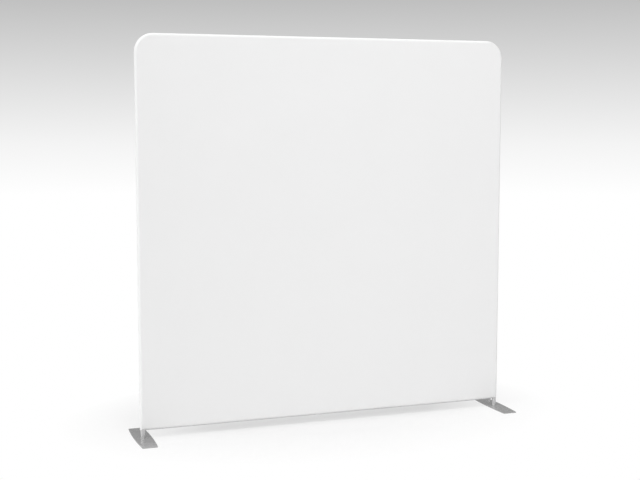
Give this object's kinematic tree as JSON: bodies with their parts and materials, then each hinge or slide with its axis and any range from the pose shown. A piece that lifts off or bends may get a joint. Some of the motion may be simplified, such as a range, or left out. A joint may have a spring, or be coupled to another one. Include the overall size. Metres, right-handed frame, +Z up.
{
  "type": "fabric display wall",
  "caption": "Straight free-standing display wall: white stretch-fabric pillowcase cover zipped over a plug-together round-tube frame on flat steel feet with round posts.",
  "frame": {"origin": "on the floor, under the middle of the wall", "axes": "+X along the wall to the right as seen from the front, -Y out of the front face, +Z up"},
  "size_m": [2.4758, 0.45, 2.406],
  "materials": {
    "cover_fabric": "matt knitted stretch polyester, white",
    "zip_tape": "woven tape, white",
    "zip_coil": "white nylon coil",
    "zip_metal": "nickel-plated zinc",
    "frame_tube": "satin anodised",
    "tee_alloy": "tumbled casting",
    "sleeve_alloy": "mill finish",
    "rivet_alloy": "bright",
    "spring_steel": "tempered strip",
    "button_metal": "zinc plated",
    "plate_steel": "satin grey steel plate",
    "post_metal": "satin turned bar",
    "screw_steel": "zinc plated"
  },
  "bodies": {
    "frame": {"lower_corner_left": "frame_tube", "lower_corner_right": "frame_tube", "upright_lower_left": "frame_tube", "upright_lower_right": "frame_tube", "upright_upper_left": "frame_tube", "upright_upper_right": "frame_tube", "upper_corner_left": "frame_tube", "upper_corner_right": "frame_tube", "top_rail_left": "frame_tube", "top_rail_right": "frame_tube", "bottom_rail_left": "frame_tube", "bottom_rail_right": "frame_tube", "top_tee": "tee_alloy", "bottom_tee": "tee_alloy", "centre_pole_lower": "frame_tube", "centre_pole_upper": "frame_tube", "joint_sleeves": "sleeve_alloy", "sleeve_rivets": "rivet_alloy", "button_springs": "spring_steel", "cover_front": "cover_fabric", "cover_back": "cover_fabric", "zip_tape_front": "zip_tape", "zip_tape_back": "zip_tape", "zip_coil_front": "zip_coil", "zip_coil_back": "zip_coil", "zip_stops": "zip_metal"},
    "foot_left": {"base_plate_left": "plate_steel", "foot_post_left": "post_metal", "foot_screw_left": "screw_steel"},
    "foot_right": {"base_plate_right": "plate_steel", "foot_post_right": "post_metal", "foot_screw_right": "screw_steel"},
    "slider": {"zip_slider": "zip_metal"},
    "pull": {"zip_pull": "zip_metal"},
    "button_low_left": {"button_low_left": "button_metal"},
    "button_low_right": {"button_low_right": "button_metal"},
    "button_mid_left": {"button_mid_left": "button_metal"},
    "button_mid_right": {"button_mid_right": "button_metal"},
    "button_high_left": {"button_high_left": "button_metal"},
    "button_high_right": {"button_high_right": "button_metal"},
    "button_top_left": {"button_top_left": "button_metal"},
    "button_top_right": {"button_top_right": "button_metal"},
    "button_bottom_left": {"button_bottom_left": "button_metal"},
    "button_bottom_right": {"button_bottom_right": "button_metal"},
    "button_pole": {"button_pole": "button_metal"},
    "button_top_tee_left": {"button_top_tee_left": "button_metal"},
    "button_top_tee_right": {"button_top_tee_right": "button_metal"},
    "button_bottom_tee_left": {"button_bottom_tee_left": "button_metal"},
    "button_bottom_tee_right": {"button_bottom_tee_right": "button_metal"}
  },
  "joints": [
    {"name": "foot_left_swivel", "type": "hinge", "parent": "frame", "child": "foot_left", "pos_m": [-1.1839, 0, 0.051], "axis": [0, 0, 1], "continuous": true},
    {"name": "foot_right_swivel", "type": "hinge", "parent": "frame", "child": "foot_right", "pos_m": [1.1839, 0, 0.051], "axis": [0, 0, 1], "continuous": true},
    {"name": "press_low_left", "type": "slide", "parent": "frame", "child": "button_low_left", "axis": [-1, 0, 0], "range_m": [0, 0.0047], "stiffness_N_per_m": 900, "springref_m": -0.003, "deforming": ["button_springs"]},
    {"name": "press_low_right", "type": "slide", "parent": "frame", "child": "button_low_right", "axis": [1, 0, 0], "range_m": [0, 0.0047], "stiffness_N_per_m": 900, "springref_m": -0.003, "deforming": ["button_springs"]},
    {"name": "press_mid_left", "type": "slide", "parent": "frame", "child": "button_mid_left", "axis": [-1, 0, 0], "range_m": [0, 0.0047], "stiffness_N_per_m": 900, "springref_m": -0.003, "deforming": ["button_springs"]},
    {"name": "press_mid_right", "type": "slide", "parent": "frame", "child": "button_mid_right", "axis": [1, 0, 0], "range_m": [0, 0.0047], "stiffness_N_per_m": 900, "springref_m": -0.003, "deforming": ["button_springs"]},
    {"name": "press_high_left", "type": "slide", "parent": "frame", "child": "button_high_left", "axis": [-1, 0, 0], "range_m": [0, 0.0047], "stiffness_N_per_m": 900, "springref_m": -0.003, "deforming": ["button_springs"]},
    {"name": "press_high_right", "type": "slide", "parent": "frame", "child": "button_high_right", "axis": [1, 0, 0], "range_m": [0, 0.0047], "stiffness_N_per_m": 900, "springref_m": -0.003, "deforming": ["button_springs"]},
    {"name": "press_top_left", "type": "slide", "parent": "frame", "child": "button_top_left", "axis": [0, 0, 1], "range_m": [0, 0.0047], "stiffness_N_per_m": 900, "springref_m": -0.003, "deforming": ["button_springs"]},
    {"name": "press_top_right", "type": "slide", "parent": "frame", "child": "button_top_right", "axis": [0, 0, 1], "range_m": [0, 0.0047], "stiffness_N_per_m": 900, "springref_m": -0.003, "deforming": ["button_springs"]},
    {"name": "press_bottom_left", "type": "slide", "parent": "frame", "child": "button_bottom_left", "axis": [0, 0, -1], "range_m": [0, 0.0047], "stiffness_N_per_m": 900, "springref_m": -0.003, "deforming": ["button_springs"]},
    {"name": "press_bottom_right", "type": "slide", "parent": "frame", "child": "button_bottom_right", "axis": [0, 0, -1], "range_m": [0, 0.0047], "stiffness_N_per_m": 900, "springref_m": -0.003, "deforming": ["button_springs"]},
    {"name": "press_pole", "type": "slide", "parent": "frame", "child": "button_pole", "axis": [-1, 0, 0], "range_m": [0, 0.0047], "stiffness_N_per_m": 900, "springref_m": -0.003, "deforming": ["button_springs"]},
    {"name": "press_top_tee_left", "type": "slide", "parent": "frame", "child": "button_top_tee_left", "axis": [0, 0, 1], "range_m": [0, 0.0047], "stiffness_N_per_m": 900, "springref_m": -0.003, "deforming": ["button_springs"]},
    {"name": "press_top_tee_right", "type": "slide", "parent": "frame", "child": "button_top_tee_right", "axis": [0, 0, 1], "range_m": [0, 0.0047], "stiffness_N_per_m": 900, "springref_m": -0.003, "deforming": ["button_springs"]},
    {"name": "press_bottom_tee_left", "type": "slide", "parent": "frame", "child": "button_bottom_tee_left", "axis": [0, 0, -1], "range_m": [0, 0.0047], "stiffness_N_per_m": 900, "springref_m": -0.003, "deforming": ["button_springs"]},
    {"name": "press_bottom_tee_right", "type": "slide", "parent": "frame", "child": "button_bottom_tee_right", "axis": [0, 0, -1], "range_m": [0, 0.0047], "stiffness_N_per_m": 900, "springref_m": -0.003, "deforming": ["button_springs"]},
    {"name": "zip_slide", "type": "slide", "parent": "frame", "child": "slider", "axis": [-1, 0, 0], "range_m": [0, 2.2989], "deforming": ["zip_coil_front", "zip_coil_back"]},
    {"name": "pull_swing", "type": "hinge", "parent": "slider", "child": "pull", "pos_m": [1.14945, 0, 0.04568], "axis": [0, 1, 0], "range_deg": [-90, 90]}
  ]
}
